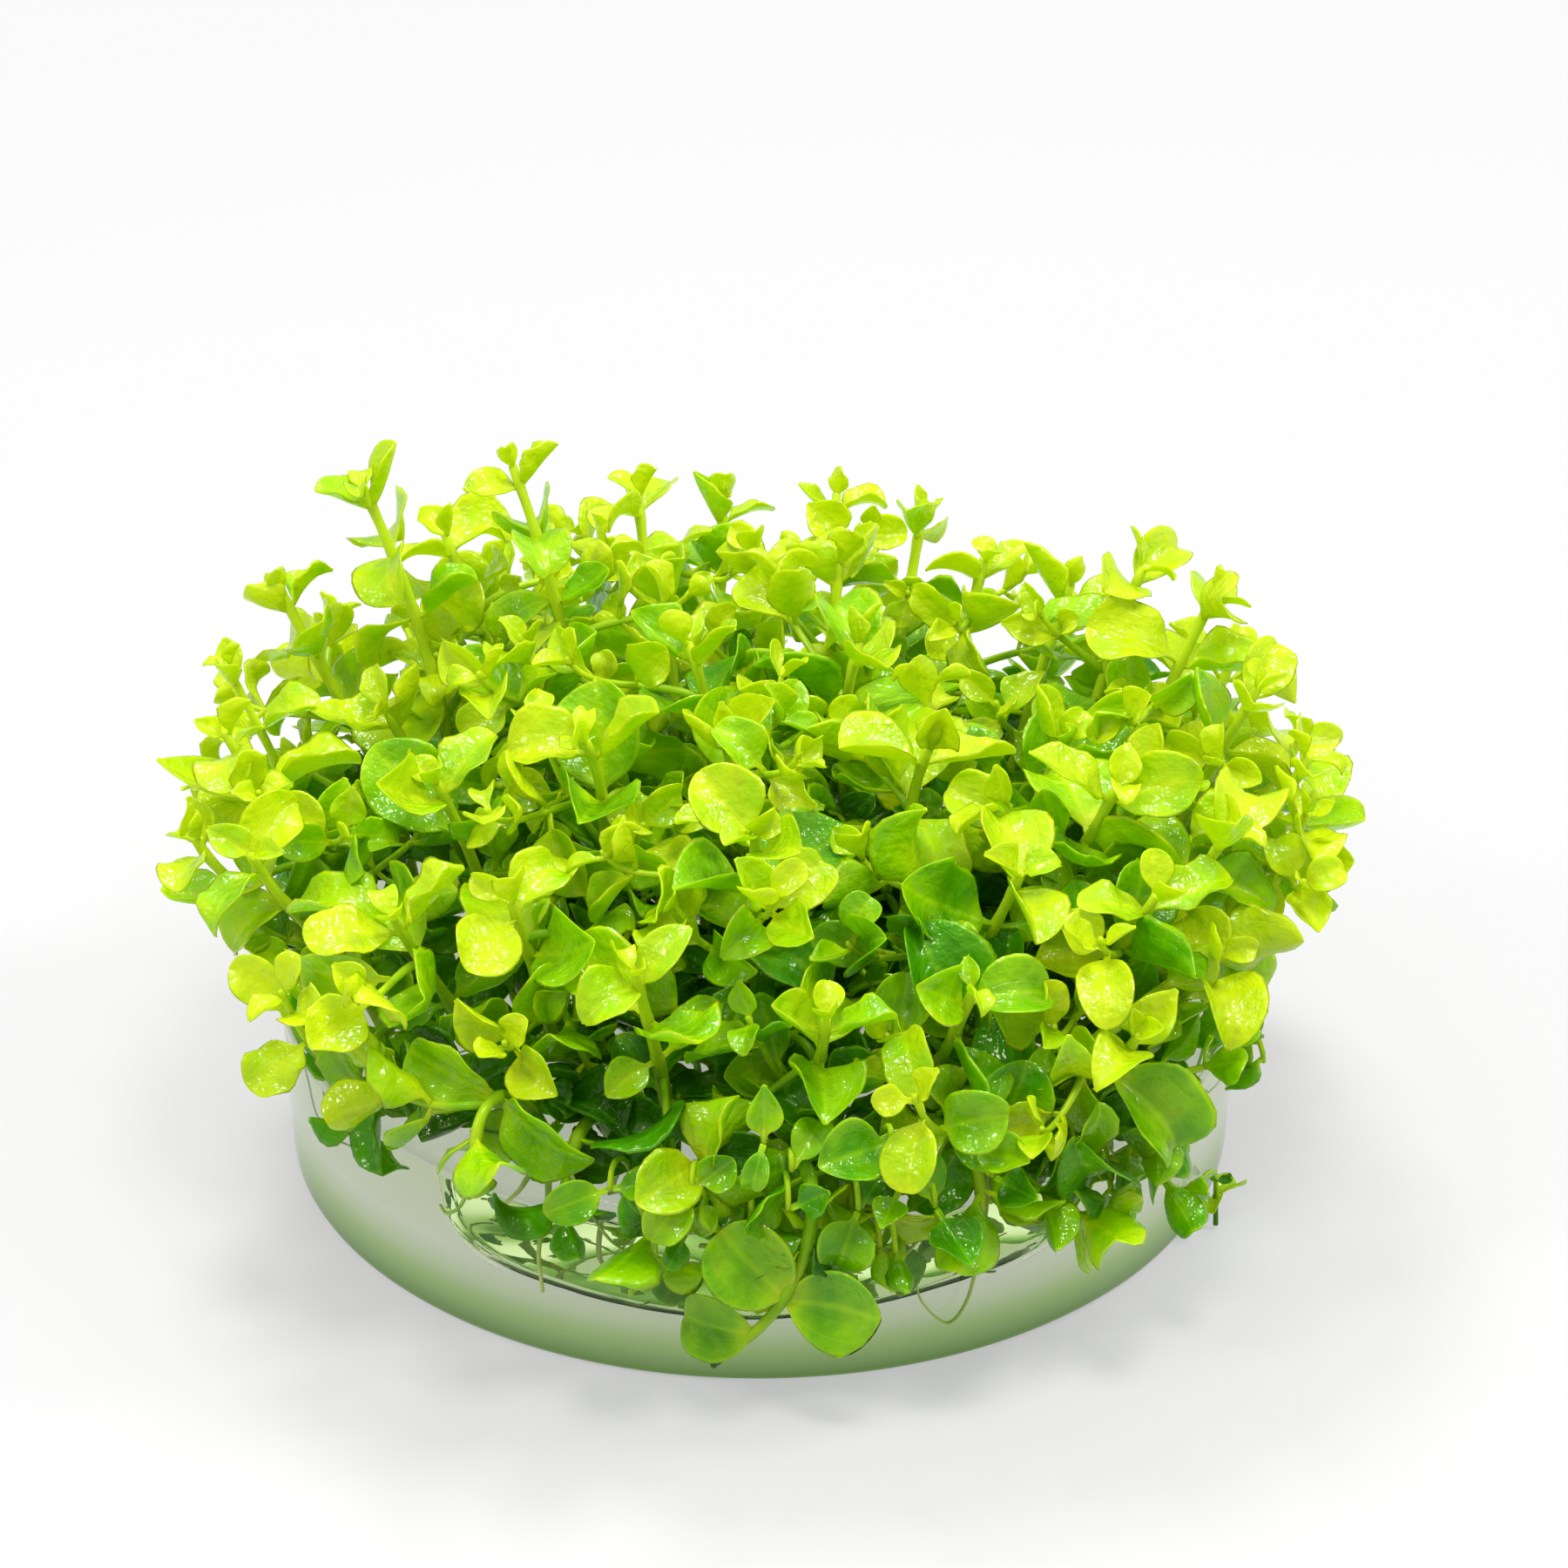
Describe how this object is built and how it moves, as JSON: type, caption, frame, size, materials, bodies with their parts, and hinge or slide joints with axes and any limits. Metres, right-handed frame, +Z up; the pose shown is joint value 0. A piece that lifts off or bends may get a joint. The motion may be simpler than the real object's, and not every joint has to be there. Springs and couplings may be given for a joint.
{
  "type": "pearlweed plant portion",
  "caption": "Dense cushion of small-leaved aquatic pearlweed sprigs growing on a clear disc of gel, to stand on a flat surface.",
  "frame": {"origin": "middle of the gel disc's underside, which is also the middle of the cushion's outline seen from above", "axes": "+Z up out of the gel along the stems; -Y is the front, where one sprig hangs down the gel's wall"},
  "size_m": [0.074, 0.0701, 0.0438],
  "materials": {
    "gel": "clear, faintly grey-green, wet and glossy gel",
    "leaf": "wet, translucent lime to mid green leaf with a paler rim and faint veins",
    "root": "hair-thin pale green root"
  },
  "bodies": {
    "root": {"gel_puck": "gel", "sprig_01": "leaf", "sprig_02": "leaf", "sprig_03": "leaf", "sprig_04": "leaf", "sprig_05": "leaf", "sprig_06": "leaf", "sprig_07": "leaf", "sprig_08": "leaf", "sprig_09": "leaf", "sprig_10": "leaf", "sprig_11": "leaf", "sprig_12": "leaf", "sprig_13": "leaf", "sprig_14": "leaf", "sprig_15": "leaf", "sprig_16": "leaf", "sprig_17": "leaf", "sprig_18": "leaf", "sprig_19": "leaf", "sprig_20": "leaf", "sprig_21": "leaf", "sprig_22": "leaf", "sprig_23": "leaf", "sprig_back_curled": "leaf", "sprig_back_left": "leaf", "sprig_back_left_upright": "leaf", "sprig_back_right": "leaf", "sprig_back_round": "leaf", "sprig_back_stalk": "leaf", "sprig_front_draped": "leaf", "sprig_front_left": "leaf", "sprig_front_middle": "leaf", "sprig_front_right": "leaf", "sprig_left_curly": "leaf", "sprig_left_edge": "leaf", "sprig_left_folded": "leaf", "sprig_left_front_large": "leaf", "sprig_left_front_low": "leaf", "sprig_left_front_pair": "leaf", "sprig_left_long_leaf": "leaf", "sprig_left_pointed": "leaf", "sprig_left_rounded": "leaf", "sprig_left_small": "leaf", "sprig_middle_lime": "leaf", "sprig_middle_starry": "leaf", "sprig_right_broad": "leaf", "sprig_right_drooping": "leaf", "sprig_right_edge": "leaf", "sprig_right_front_broad": "leaf", "sprig_right_front_round": "leaf", "sprig_right_low": "leaf", "sprig_right_paired": "leaf", "sprig_right_pointed": "leaf", "sprig_right_rim": "leaf", "sprig_right_round": "leaf", "sprig_right_tall_leaf": "leaf", "sprig_stray_right": "leaf", "sprig_tall_left": "leaf", "sprig_tall_left_inner": "leaf"}
  },
  "joints": []
}
